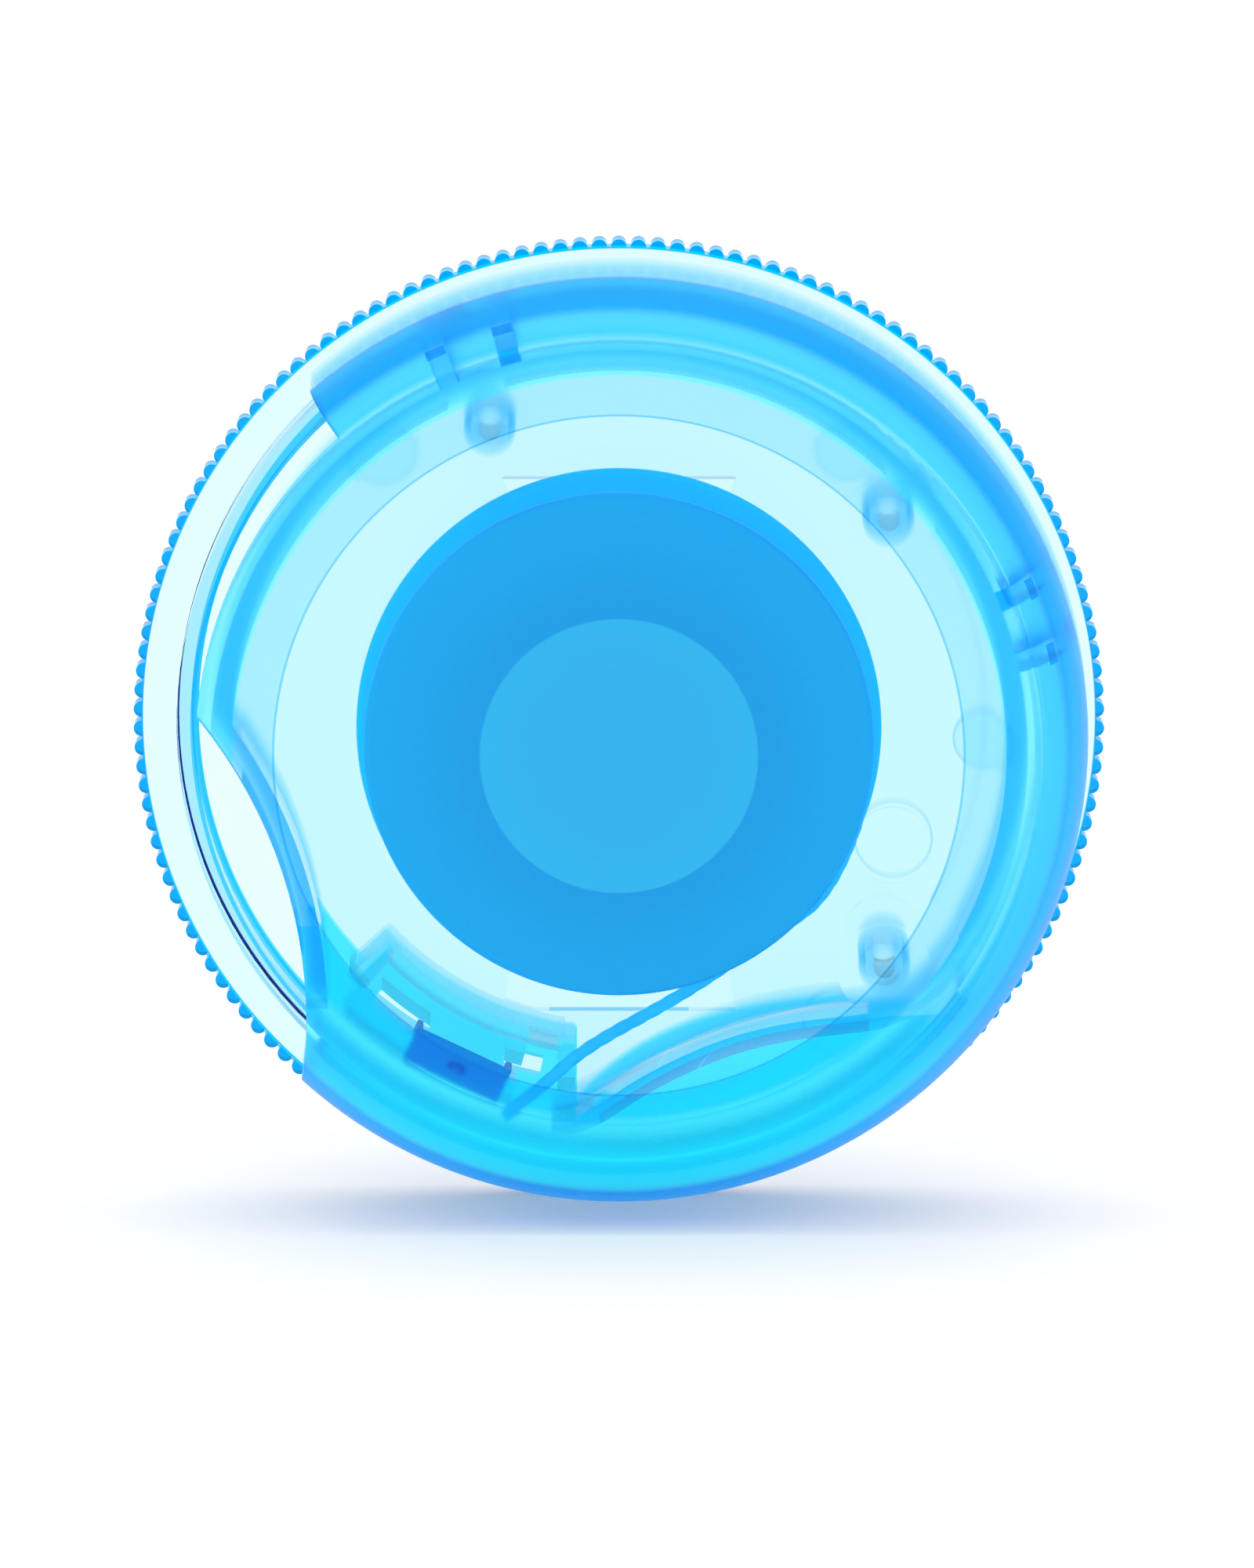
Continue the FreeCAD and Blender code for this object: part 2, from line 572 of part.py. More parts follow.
pocket(base, dimple_sketch, "rear_dimple_depth", "gate_dimple")
round_edges(base, "rear_round", (("lip_radius", "0"),), "edge_round")
bump_sketch = new_sketch(base, "bump_sketch", "flange_height - flange_thick")
draw_circle(bump_sketch, "knurl_bump_radius", "0", "-1 * knurl_root_radius")
bump = pad(base, bump_sketch, "flange_thick", "bump")
knurl = base.newObject("PartDesign::PolarPattern", "knurl")
knurl.Originals = [bump]
knurl.Axis = ([axis for axis in base.Origin.OriginFeatures if axis.Role == "Z_Axis"][0], [""])
knurl.Angle = 360
bind(knurl, "Occurrences", "knurl_count")
base.Tip = knurl

# Spool carrier: a plate behind the spool with its hollow axle, three pins into the cover,
# two openings and the block that holds the cutter.
carrier = new_body("spool_carrier")
ring(carrier, "plate", "carrier_radius", None, "carrier_rear", "carrier_thick")
clear_sketch = new_sketch(carrier, "clear_sketch", "carrier_rear - overrun")
draw_circle(clear_sketch, "bite_radius + joint_gap", "bite_right", "bite_up")
pocket(carrier, clear_sketch, "carrier_thick + 2 * overrun", "bite_clearance")
for name, reach, sign in (("upper", "upper_reach", ""), ("lower", "lower_reach", "-1 * ")):
    opening_sketch = new_sketch(carrier, name + "_opening_sketch", "carrier_rear - overrun")
    draw_outline(opening_sketch, (
        ("-1 * opening_waist", sign + "opening_start"),
        ("opening_waist", sign + "opening_start"),
        ("opening_half_width", sign + reach), ("-1 * opening_half_width", sign + reach)))
    pocket(carrier, opening_sketch, "carrier_thick + 2 * overrun", name + "_opening")
ring(carrier, "collar", "collar_radius", None, "carrier_rear", "collar_top - carrier_rear")
ring(carrier, "axle", "axle_radius", None, "carrier_rear", "axle_top - carrier_rear")
ring(carrier, "bead", "axle_radius + axle_bead", None, "axle_top - axle_bead_height",
     "axle_bead_height")
hollow_sketch = new_sketch(carrier, "hollow_sketch", "carrier_rear - overrun")
draw_circle(hollow_sketch, "axle_radius - axle_wall")
pocket(carrier, hollow_sketch, "axle_top - axle_wall - carrier_rear + overrun", "axle_hollow")
for name, radius, level, length in (
        ("pin_feet", "foot_radius", "carrier_rear", "carrier_thick + foot_height"),
        ("pins", "pin_radius", "carrier_rear", "pin_top - carrier_rear")):
    pin_sketch = new_sketch(carrier, name + "_sketch", level)
    for right, up in pin_places():
        draw_circle(pin_sketch, radius, right, up)
    pad(carrier, pin_sketch, length, name)
sector(carrier, "block_wall", "block_radius", "block_radius + block_wall", "block_first_angle",
       "block_last_angle", "carrier_rear", "block_top - carrier_rear")
sector(carrier, "block_end", "block_radius", "block_end_reach", "block_first_angle",
       "block_first_angle + block_end_angle", "carrier_rear", "block_top - carrier_rear")
sector(carrier, "platform", "block_radius + block_wall / 2", "block_outer",
       "platform_first_angle", "platform_last_angle", "carrier_rear",
       "platform_top - carrier_rear")
guide_sketch = new_sketch(carrier, "guide_sketch", "carrier_rear")
draw_outline(guide_sketch, (
    ("-1 * guide_right - guide_width", "-1 * guide_reach"),
    ("-1 * guide_right", "-1 * guide_reach"),
    ("-1 * guide_right", "-1 * block_radius"),
    ("-1 * guide_right - guide_width", "-1 * block_radius")))
pad(carrier, guide_sketch, "floss_height - floss_radius - fit_gap - carrier_rear", "guide_rib")
core_sketch = new_sketch(carrier, "core_sketch", "carrier_rear - overrun")
for right, up in pin_places():
    draw_circle(core_sketch, "pin_radius - pin_wall", right, up)
pocket(carrier, core_sketch, "pin_top - pin_wall - carrier_rear + overrun", "pin_cores")
for name in ("left_slot", "right_slot"):
    slot_sketch = new_sketch(carrier, name + "_sketch", "carrier_rear - overrun")
    draw_sector(slot_sketch, "slot_inner", "slot_inner + slot_width", name + "_first_angle",
                name + "_last_angle")
    pocket(carrier, slot_sketch, "platform_top - carrier_rear + 2 * overrun", name)

# Spool: a hub between two flanges, closed in front, turned from one profile. A groove in
# its bore takes the bead of the axle.
spool = new_body("floss_bobbin")
spool_profile = new_sketch(spool, "spool_profile", role="XZ_Plane")
draw_outline(spool_profile, (
    ("0", "spool_top"), ("0", "cap_inner"), ("groove_radius", "cap_inner"),
    ("groove_radius", "groove_rear"), ("spool_bore", "groove_rear"),
    ("spool_bore", "spool_bottom"), ("spool_radius", "spool_bottom"),
    ("spool_radius", "spool_bottom + flange_wall"),
    ("hub_radius", "spool_bottom + flange_wall"),
    ("hub_radius", "spool_top - flange_wall"),
    ("front_flange_radius", "spool_top - flange_wall"),
    ("front_flange_radius", "spool_top")))
spool_turned = spool.newObject("PartDesign::Revolution", "spool_turned")
spool_turned.Profile = spool_profile
spool_turned.ReferenceAxis = (spool_profile, ["V_Axis"])
spool_turned.Angle = 360
round_edges(spool, "flange_rounds", (
    ("spool_radius", "spool_bottom"), ("spool_radius", "spool_bottom + flange_wall"),
    ("front_flange_radius", "spool_top"), ("front_flange_radius", "spool_top - flange_wall")),
    "flange_round")

# Cutter: a folded strip of steel with a raised tooth and two legs in the block's slots.
# In its own frame X runs along the strip, Y points at the case axis and Z is forward.
blade = doc.addObject("PartDesign::Body", "cutter_blade")
upright = FreeCAD.Rotation(FreeCAD.Vector(1, 0, 0), 90)
strip_turn = FreeCAD.Rotation(FreeCAD.Vector(0, 0, 1), size("blade_angle") - 270)
blade.Placement = FreeCAD.Placement(FreeCAD.Vector(0, 0, 0), upright.multiply(strip_turn))
bind(blade, "Placement.Base.x", "blade_right")
bind(blade, "Placement.Base.y", "half_depth")
bind(blade, "Placement.Base.z", "blade_height")
strip_sketch = new_sketch(blade, "strip_sketch", "platform_top")
draw_outline(strip_sketch, (
    ("-1 * blade_length / 2", "-1 * blade_width / 2"),
    ("blade_length / 2", "-1 * blade_width / 2"),
    ("blade_length / 2", "blade_width / 2"), ("-1 * blade_length / 2", "blade_width / 2")))
pad(blade, strip_sketch, "blade_thick", "strip")
for name, near, far in (
        ("left_leg", "-1 * blade_length / 2", "-1 * blade_length / 2 + blade_thick"),
        ("right_leg", "blade_length / 2 - blade_thick", "blade_length / 2")):
    leg_sketch = new_sketch(blade, name + "_sketch", "platform_top - blade_leg")
    draw_outline(leg_sketch, (
        (near, "blade_width / 2 - leg_width"), (far, "blade_width / 2 - leg_width"),
        (far, "blade_width / 2"), (near, "blade_width / 2")))
    pad(blade, leg_sketch, "blade_leg + blade_thick", name)
tooth_sketch = new_sketch(blade, "tooth_sketch", role="XZ_Plane")
draw_outline(tooth_sketch, (
    ("-1 * tooth_width / 2", "platform_top + blade_thick / 2"),
    ("tooth_width / 2", "platform_top + blade_thick / 2"),
    ("tooth_width / 2 - blade_thick", "platform_top + blade_thick + tooth_height"),
    ("blade_thick - tooth_width / 2", "platform_top + blade_thick + tooth_height / 2")))
pad(blade, tooth_sketch, "blade_thick", "tooth")


def biarc(start, start_way, end, end_way):
    """Two arcs that join two places and keep both directions."""
    chord = end - start
    first = 2 * (1 - start_way.dot(end_way))
    second = 2 * chord.dot(start_way + end_way)
    third = -chord.dot(chord)
    reach = (-second + math.sqrt(second * second - 4 * first * third)) / (2 * first)
    near, far = start + start_way * reach, end - end_way * reach
    middle = (near + far) * 0.5
    return [tangent_arc(start, near, middle), tangent_arc(middle, far, end)]


def tangent_arc(start, corner, end):
    """The arc from one place to another whose end tangents meet at a corner."""
    half = (end - start) * 0.5
    base_point = start + half
    towards = corner - base_point
    angle = math.atan2(towards.Length, half.Length)
    sagitta = half.Length * math.tan(angle / 2)
    return Part.Arc(start, base_point + towards * (sagitta / towards.Length), end).toShape()


def tube_along(edges, radius):
    """A round tube along joined edges."""
    path = Part.Wire(edges)
    first = edges[0]
    mouth = Part.Wire([Part.Circle(first.valueAt(first.FirstParameter),
                                   first.tangentAt(first.FirstParameter), radius).toShape()])
    return path, path.makePipeShell([mouth], True, False)


# Floss on the spool: an even drum under, and the outer turns as one tube over it.
turn_radius = size("winding_radius") - size("floss_radius")
low_turn = size("spool_bottom") + size("flange_wall") + size("fit_gap") + size("floss_radius")
high_turn = size("spool_top") - size("flange_wall") - size("fit_gap") - size("floss_radius")
turn_count = math.floor(4 * (high_turn - low_turn) / size("floss_pitch")) / 4
turn_start = (low_turn + high_turn - turn_count * size("floss_pitch")) / 2


def turn_point(quarter):
    """A place on the outer turns and the direction there, after some quarter turns."""
    angle = quarter * math.pi / 2
    climb = size("floss_pitch") / (2 * math.pi)
    place = FreeCAD.Vector(turn_radius * math.cos(angle), turn_radius * math.sin(angle),
                           turn_start + climb * angle)
    way = FreeCAD.Vector(-turn_radius * math.sin(angle), turn_radius * math.cos(angle), climb)
    return place, way.normalize()


quarters = [turn_point(quarter) for quarter in range(int(4 * turn_count) + 1)]
turn_edges = [Part.makeLine(quarters[0][0] - quarters[0][1] * size("floss_diameter"),
                            quarters[0][0])]
for (place, way), (next_place, next_way) in zip(quarters, quarters[1:]):
    turn_edges += biarc(place, way, next_place, next_way)
turn_edges.append(Part.makeLine(quarters[-1][0],
                                quarters[-1][0] + quarters[-1][1] * size("floss_diameter")))
turn_path, turns = tube_along(turn_edges, size("floss_radius"))
drum_radius = size("winding_radius") - size("floss_diameter") + size("floss_sink")
drum_rear = size("spool_bottom") + size("flange_wall") + size("fit_gap")
drum_height = size("spool_height") - 2 * size("flange_wall") - 2 * size("fit_gap")
drum = Part.makeCylinder(drum_radius, drum_height, FreeCAD.Vector(0, 0, drum_rear))
drum = drum.cut(Part.makeCylinder(size("hub_radius") + size("fit_gap"), size("case_depth")))
winding = doc.addObject("Part::Feature", "floss_winding")
winding.Shape = drum.fuse(turns)
stand_up(winding)
SAMPLES_PER_TURN = 96
samples = turn_path.discretize(Number=int(SAMPLES_PER_TURN * turn_count))
least = min(
    (samples[i] - samples[j]).Length
    for i in range(len(samples)) for j in range(i + SAMPLES_PER_TURN // 2, len(samples)))
print("outer turns", turn_count, "least gap", round(least - size("floss_diameter"), 3))

# Floss strand: peels off the spool clockwise, runs over the guide rib and past the cutter.
# Its first straight run and its later corners are shares of the block's inner radius.
STRAND_PEEL_ANGLES = (-15.0, -55.1)
STRAND_RUN_SHARE = 0.324607
STRAND_SHARES = ((-0.115183, -1.026178), (-0.26178, -1.167539), (-0.371728, -1.243455))
CORNER_CUT_SHARE = 0.45
strand_circle = size("winding_radius") + size("joint_gap") + size("floss_radius")
strand_level = FreeCAD.Vector(0, 0, size("floss_height"))
peel = [FreeCAD.Vector(math.cos(math.radians(angle)), math.sin(math.radians(angle)), 0)
        * strand_circle + strand_level
        for angle in (STRAND_PEEL_ANGLES[0], sum(STRAND_PEEL_ANGLES) / 2, STRAND_PEEL_ANGLES[1])]
leave = math.radians(STRAND_PEEL_ANGLES[1])
leave_way = FreeCAD.Vector(math.sin(leave), -math.cos(leave), 0)
route = [peel[2], peel[2] + leave_way * (size("block_radius") * STRAND_RUN_SHARE)]
route += [FreeCAD.Vector(right, up, 0) * size("block_radius") + strand_level
          for right, up in STRAND_SHARES]
strand_edges = [Part.Arc(*peel).toShape()]
here = route[0]
for before, corner, after in zip(route, route[1:], route[2:]):
    back, on = before - corner, after - corner
    half_turn = (math.pi - back.getAngle(on)) / 2
    cut = CORNER_CUT_SHARE * min(back.Length, on.Length)
    print("strand bend radius", round(cut / math.tan(half_turn), 2))
    near = corner + back * (cut / back.Length)
    far = corner + on * (cut / on.Length)
    strand_edges.append(Part.makeLine(here, near))
    strand_edges.append(tangent_arc(near, corner, far))
    here = far
strand_edges.append(Part.makeLine(here, route[-1]))
strand_path, strand_tube = tube_along(strand_edges, size("floss_radius"))
strand = doc.addObject("Part::Feature", "floss_strand")
strand.Shape = strand_tube
stand_up(strand)
section = math.pi * size("floss_radius") ** 2
print("strand length", round(strand_path.Length, 2), "volume over section times length",
      round(strand_tube.Volume / (section * strand_path.Length), 4))
doc.recompute()

NODES = (front_cover, base, carrier, spool, winding, strand, blade)
faults = [feature.Name for feature in doc.Objects
          if "Invalid" in feature.State or "Error" in feature.State]
for node in NODES:
    node.Label = node.Name
    if node.Shape.isNull() or not node.Shape.isValid():
        faults.append(node.Name)
if faults:
    raise SystemExit("not built: " + ", ".join(faults))
for node in NODES:
    node.Shape.exportStep("parts/%s.step" % node.Label)
    box = node.Shape.BoundBox
    print("%-14s solids %d volume %8.1f  x %6.2f %6.2f  y %6.2f %6.2f  z %6.2f %6.2f" % (
        node.Label, len(node.Shape.Solids), node.Shape.Volume, box.XMin, box.XMax, box.YMin,
        box.YMax, box.ZMin, box.ZMax))
print("travel", round(size("travel_angle"), 3), "degrees")
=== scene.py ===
# %% [markdown]
# A round floss dispenser of clear blue plastic, stood on its rim on a white floor.
# The case, its turning base, the carrier, the spool, the floss and the cutter come in as
# finished shapes. This lesson gives them their surfaces, their light and their camera, and
# adds what a mould or a machine leaves on them.

# %% Load the parts
import math

import bpy
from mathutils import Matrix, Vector


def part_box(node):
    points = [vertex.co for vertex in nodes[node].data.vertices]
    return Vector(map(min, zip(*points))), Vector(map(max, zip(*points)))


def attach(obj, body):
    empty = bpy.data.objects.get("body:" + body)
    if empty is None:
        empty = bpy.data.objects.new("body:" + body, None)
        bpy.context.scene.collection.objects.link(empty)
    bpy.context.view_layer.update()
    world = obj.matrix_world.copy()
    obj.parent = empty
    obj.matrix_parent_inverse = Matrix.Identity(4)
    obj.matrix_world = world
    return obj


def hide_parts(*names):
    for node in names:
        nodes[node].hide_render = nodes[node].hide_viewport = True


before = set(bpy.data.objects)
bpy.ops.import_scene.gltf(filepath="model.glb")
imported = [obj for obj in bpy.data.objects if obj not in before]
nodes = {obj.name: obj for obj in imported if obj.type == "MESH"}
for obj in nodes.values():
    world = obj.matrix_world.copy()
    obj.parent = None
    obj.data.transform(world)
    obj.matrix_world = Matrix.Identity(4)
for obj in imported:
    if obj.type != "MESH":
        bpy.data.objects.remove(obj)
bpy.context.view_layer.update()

print("parts:", ", ".join(sorted(nodes)))

# %% [markdown]
# Everything is placed from a few measures of the parts themselves. The case axis runs along
# Y through the middle of the base, and the clear front face looks towards -Y.

# %% Measures taken from the parts
MM = 0.001
base_low, base_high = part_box("knurled_base")
cover_low, cover_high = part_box("front_cover")
spool_low, spool_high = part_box("floss_bobbin")
rim_radius = (base_high.z - base_low.z) / 2
axis_height = (base_high.z + base_low.z) / 2
axis_middle = Vector((0, 0, axis_height))
front_face = cover_low.y
print("rim", round(rim_radius / MM, 2), "mm, front", round(front_face / MM, 2), "mm")

# %% [markdown]
# Every vertex of a part is already where it belongs, so a surface pattern can be written in
# plain coordinates: how far a point is from the case axis, and how far it is behind the
# front face. Writing that as Math nodes by hand is slow to read. A small class that wraps a
# socket lets the same maths be written as an ordinary expression.

# %% A small language for shader maths


class Value:
    """A socket that can be used in an ordinary expression."""

    def __init__(self, shader, socket):
        self.shader = shader
        self.socket = socket

    def maths(self, operation, *others):
        return self.shader.add("ShaderNodeMath", {"operation": operation}, self, *others)

    def __add__(self, other):
        return self.maths("ADD", other)

    def __mul__(self, other):
        return self.maths("MULTIPLY", other)

    def __sub__(self, other):
        return self.maths("SUBTRACT", other)

    def __rsub__(self, other):
        return self.shader.add("ShaderNodeMath", {"operation": "SUBTRACT"}, other, self)

    def __gt__(self, other):
        return self.maths("GREATER_THAN", other)

    def __lt__(self, other):
        return self.maths("LESS_THAN", other)

    def root(self):
        return self.maths("SQRT")

    def ramp(self, start, end):
        """Goes smoothly from 0 to 1 as the value goes from start to end."""
        return self.shader.add(
            "ShaderNodeMapRange", {"interpolation_type": "SMOOTHSTEP"},
            self, start, end, 0.0, 1.0)


class Shader:
    """One material, made by adding nodes."""

    def __init__(self, name):
        self.material = bpy.data.materials.new(name)
        self.material.use_nodes = True
        self.tree = self.material.node_tree
        self.surface = self.tree.nodes["Principled BSDF"]
        self.output = self.tree.nodes["Material Output"]

    def add(self, kind, settings, *inputs, output=0, **named):
        """Adds a node: its settings first, then the values or links of its sockets."""
        node = self.tree.nodes.new(kind)
        for key, setting in settings.items():
            setattr(node, key, setting)
        for key, value in list(enumerate(inputs)) + list(named.items()):
            name = key if isinstance(key, int) else key.replace("_", " ")
            self.put(node.inputs[name], value)
        return Value(self, node.outputs[output])

    def put(self, socket, value):
        if isinstance(value, Value):
            self.tree.links.new(value.socket, socket)
        elif value is not None:
            socket.default_value = value

    def places(self):
        """Right of the axis, behind the origin and above the axis, in metres."""
        coordinates = self.add("ShaderNodeTexCoord", {}, output=3)
        parts = self.tree.nodes.new("ShaderNodeSeparateXYZ")
        self.put(parts.inputs[0], coordinates)
        right, back, up = (Value(self, socket) for socket in parts.outputs)
        return right, back, up - axis_height

    def mix(self, share, first, second):
        """A blend of two colours."""
        node = self.tree.nodes.new("ShaderNodeMix")
        node.data_type = "RGBA"
        self.put(node.inputs[0], share)
        self.put(node.inputs[6], first)
        self.put(node.inputs[7], second)
        return Value(self, node.outputs[2])

    def bump(self, height, strength, distance):
        node = self.tree.nodes.new("ShaderNodeBump")
        node.inputs["Strength"].default_value = strength
        node.inputs["Distance"].default_value = distance
        self.put(node.inputs["Height"], height)
        self.put(self.surface.inputs["Normal"], Value(self, node.outputs[0]))

    def pass_straight(self, share):
        """Lets a share of the light through the surface without bending it."""
        straight = self.tree.nodes.new("ShaderNodeBsdfTransparent")
        blend = self.tree.nodes.new("ShaderNodeMixShader")
        self.put(blend.inputs[0], share)
        self.put(blend.inputs[1], Value(self, self.surface.outputs[0]))
        self.put(blend.inputs[2], Value(self, straight.outputs[0]))
        self.put(self.output.inputs["Surface"], Value(self, blend.outputs[0]))

    def faces_sideways(self):
        """1 on faces that run from front to back, and 0 on the flat fronts."""
        normal = self.add("ShaderNodeNewGeometry", {}, output=1)
        along_depth = self.add("ShaderNodeVectorMath", {"operation": "DOT_PRODUCT"},
                               normal, (0.0, 1.0, 0.0), output=1)
        return along_depth.maths("ABSOLUTE") < 0.5

    def near(self, right, up, middles, radius):
        """1 within a radius of any of some places, given right of and above the axis."""
        found = 0.0
        for middle_right, middle_up in middles:
            across = right - middle_right * MM
            above = up - middle_up * MM
            found = ((across * across + above * above).root() < radius) + found
        return found.maths("MINIMUM", 1.0)

    def set(self, **values):
        for key, value in values.items():
            self.put(self.surface.inputs[key.replace("_", " ")], value)


print("shader helpers ready")

# %% [markdown]
# The case is one kind of plastic, a clear blue polystyrene. Its colour isn't on the surface.
# It is in the body of the plastic, so a thin wall is pale and a wall seen end-on is deep
# blue. A surface that lets light through, with a Volume Absorption inside the solid, does
# exactly that, because each ray is dimmed by the length that it travels in the plastic.
# The surface says how smooth it is, polished clear in places and frosted in others, and painted
# shade on it deepens the blue where several walls lie behind each other.

# %% The blue of the plastic
ABSORBED_LIGHT = (0.12, 0.765, 0.985, 1.0)
ABSORPTION_PER_METRE = 205.0
PLASTIC_INDEX = 1.22
MIRROR_SHARE = 0.08
FINE_GRAIN = 2600.0
WHITE = (1.0, 1.0, 1.0, 1.0)
DARK = (0.0, 0.0, 0.0, 1.0)


def clear_plastic(name, density=ABSORPTION_PER_METRE):
    """A shader with the plastic's inside, whose surface is still to be finished."""
    shader = Shader(name)
    shader.set(Transmission_Weight=1.0, IOR=PLASTIC_INDEX, Base_Color=WHITE, Roughness=0.02,
               Specular_IOR_Level=MIRROR_SHARE)
    inside = shader.tree.nodes.new("ShaderNodeVolumeAbsorption")
    inside.inputs["Color"].default_value = ABSORBED_LIGHT
    inside.inputs["Density"].default_value = density
    shader.tree.links.new(inside.outputs[0], shader.output.inputs["Volume"])
    return shader


def wear(node_name, shader):
    """Gives a part its material."""
    mesh = nodes[node_name].data
    mesh.materials.clear()
    mesh.materials.append(shader.material)
    print(node_name, "wears", shader.material.name)


# %% [markdown]
# The cover's face is polished out to a circle, the window, and frosted beyond it as far as
# the shoulder. The side wall is polished again. A frosted mould is spark-eroded, so its
# grain is fine and even. The middle of the window has a round patch with a dull surface.
# These masks say where each of those places is: they are 1 on the place and 0 beside it,
# and they come from the distance from the axis and from the face.

# %% Cover: where it is polished and where it is frosted
WINDOW_RADIUS = 21.2 * MM
WINDOW_EDGE = 0.12 * MM
WINDOW_LINE = 0.1 * MM
FACE_DEPTH = 0.9 * MM
SHOULDER_RADIUS = 25.9 * MM
SIDE_START = -2.2 * MM
SIDE_BLEND = 0.6 * MM
PATCH_RADIUS = 8.6 * MM
cover_shader = clear_plastic("clear_blue_cover")
right, back, up = cover_shader.places()
from_axis = (right * right + up * up).root()
on_face = back < front_face + FACE_DEPTH
frost = from_axis.ramp(WINDOW_RADIUS, WINDOW_RADIUS + WINDOW_EDGE)
outside = on_face + (from_axis > SHOULDER_RADIUS)
in_front = 1.0 - back.ramp(SIDE_START - SIDE_BLEND, SIDE_START + SIDE_BLEND)
frost_outside = frost * outside.maths("MINIMUM", 1.0) * in_front
window_line = from_axis.ramp(WINDOW_RADIUS - WINDOW_LINE, WINDOW_RADIUS) * (
    1.0 - from_axis.ramp(WINDOW_RADIUS, WINDOW_RADIUS + WINDOW_LINE)) * on_face
patch = (1.0 - from_axis.ramp(PATCH_RADIUS - WINDOW_EDGE, PATCH_RADIUS)) * on_face
print("window", round(2 * WINDOW_RADIUS / MM, 1), "mm across")

# %% [markdown]
# Seen from the front, the frosted part has rings of different blues, because the walls under it
# stand end-on: a pale ring, the inner wall, the channel and the rim. These blues are painted
# shade on the frosted face, for the light's longer path through the walls under it. Below the
# wall that leads the floss, the blue is deeper, and that is painted shade too. The wall falls to
# the left in a curve, so an exponential gives the border of the deep part.

# %% Cover: the painted shade of the frosted rings
# Painted shade: deeper blues painted on the frosted face, ring by ring and below the lead wall,
# for the walls seen end-on under it.
RING_PAINTED_SHADE = (0.49, 0.85, 0.99, 1.0)
WALL_PAINTED_SHADE = (0.14, 0.98, 1.0, 1.0)
CHANNEL_PAINTED_SHADE = (0.20, 0.84, 1.0, 1.0)
EDGE_PAINTED_SHADE = (0.0, 0.47, 0.94, 1.0)
LOW_PAINTED_SHADE = (0.01, 0.76, 1.0, 1.0)
WALL_START, WALL_END = 23.55 * MM, 23.8 * MM
CHANNEL_START, CHANNEL_END = 24.2 * MM, 26.3 * MM
EDGE_START, EDGE_END = 27.2 * MM, 27.7 * MM
LOW_FADE_START, LOW_FADE_END = 24.5 * MM, 27.0 * MM
LEAD_RIGHT = 2.6 * MM
LEAD_UP = 17.0 * MM
LEAD_DROP = 6.9 * MM
LEAD_BEND = 6.0 * MM
LEAD_SHIFT = 1.07 * MM
LEAD_EDGE = 0.1 * MM
LOW_START = 10.6 * MM


def lead_border(right):
    """How far below the axis the lead wall is, right of the block."""
    return ((right + LEAD_RIGHT) * (-1 / LEAD_BEND)).maths("EXPONENT") * LEAD_DROP + LEAD_UP


ring_shade_colour = cover_shader.mix(from_axis.ramp(WALL_START, WALL_END), RING_PAINTED_SHADE, WALL_PAINTED_SHADE)
channel_shade_colour = cover_shader.mix(
    from_axis.ramp(CHANNEL_START, CHANNEL_END), ring_shade_colour, CHANNEL_PAINTED_SHADE)
frost_shade_colour = cover_shader.mix(
    from_axis.ramp(EDGE_START, EDGE_END), channel_shade_colour, EDGE_PAINTED_SHADE)
border = lead_border(right) - LEAD_SHIFT
# Painted shade: the deeper blue below the wall that leads the floss.
right_low_shade = (0.0 - up).ramp(border - LEAD_EDGE, border + LEAD_EDGE) * (right > -LEAD_RIGHT)
left_low_shade = (right < -LEAD_RIGHT) * (up < -LOW_START)
low_shade_zone = (right_low_shade + left_low_shade).maths("MINIMUM", 1.0) * (
    1.0 - from_axis.ramp(LOW_FADE_START, LOW_FADE_END))
frost_shade_colour = cover_shader.mix(low_shade_zone, frost_shade_colour, LOW_PAINTED_SHADE)
print("rings of blue from", round(WINDOW_RADIUS / MM, 1), "to", round(EDGE_END / MM, 1), "mm")

# %% [markdown]
# Two pairs of short ribs stand in the channel as stops and detents. They are seen end-on, so
# painted shade makes them a darker blue. Each rib runs outwards at its own angle, and a point is
# on it when it is close to the line at that angle.

# %% Cover: ribs, roughness and colour with painted shade
# Painted shade: the darker blue of the ribs seen end-on.
RIB_PAINTED_SHADE = (0.0, 0.30, 0.80, 1.0)
LINE_TINT = (0.10, 0.55, 0.85, 1.0)
LINE_STRENGTH = 2.5
RIB_ANGLES = (114.3, 105.2, 22.0, 13.1)
RIB_HALF = 0.65 * MM
RIB_START = 24.9 * MM
RIB_END = 27.5 * MM
BEHIND_FACE = 1.0 * MM
CLEAR_ROUGHNESS = 0.015
FROST_ROUGHNESS = 0.2
CHANNEL_ROUGHNESS = 0.14
PATCH_ROUGHNESS = 0.2
HAZE_START, HAZE_END = 23.6 * MM, 25.0 * MM
GRAIN_STRENGTH, GRAIN_DEPTH = 0.15, 0.02 * MM
behind_face = back > front_face + BEHIND_FACE
on_ribs = 0.0
for angle in RIB_ANGLES:
    outward = (math.cos(math.radians(angle)), math.sin(math.radians(angle)))
    along = right * outward[0] + up * outward[1]
    across = (up * outward[0] - right * outward[1]).maths("ABSOLUTE")
    on_ribs = (across < RIB_HALF) * (along > RIB_START) * (along < RIB_END) + on_ribs
on_ribs = on_ribs.maths("MINIMUM", 1.0) * behind_face
haze = from_axis.ramp(HAZE_START, HAZE_END) * CHANNEL_ROUGHNESS + FROST_ROUGHNESS
cover_colour = cover_shader.mix(frost_outside, WHITE, frost_shade_colour)
cover_colour = cover_shader.mix(on_ribs, cover_colour, RIB_PAINTED_SHADE)
cover_colour = cover_shader.mix(window_line * LINE_STRENGTH, cover_colour, LINE_TINT)
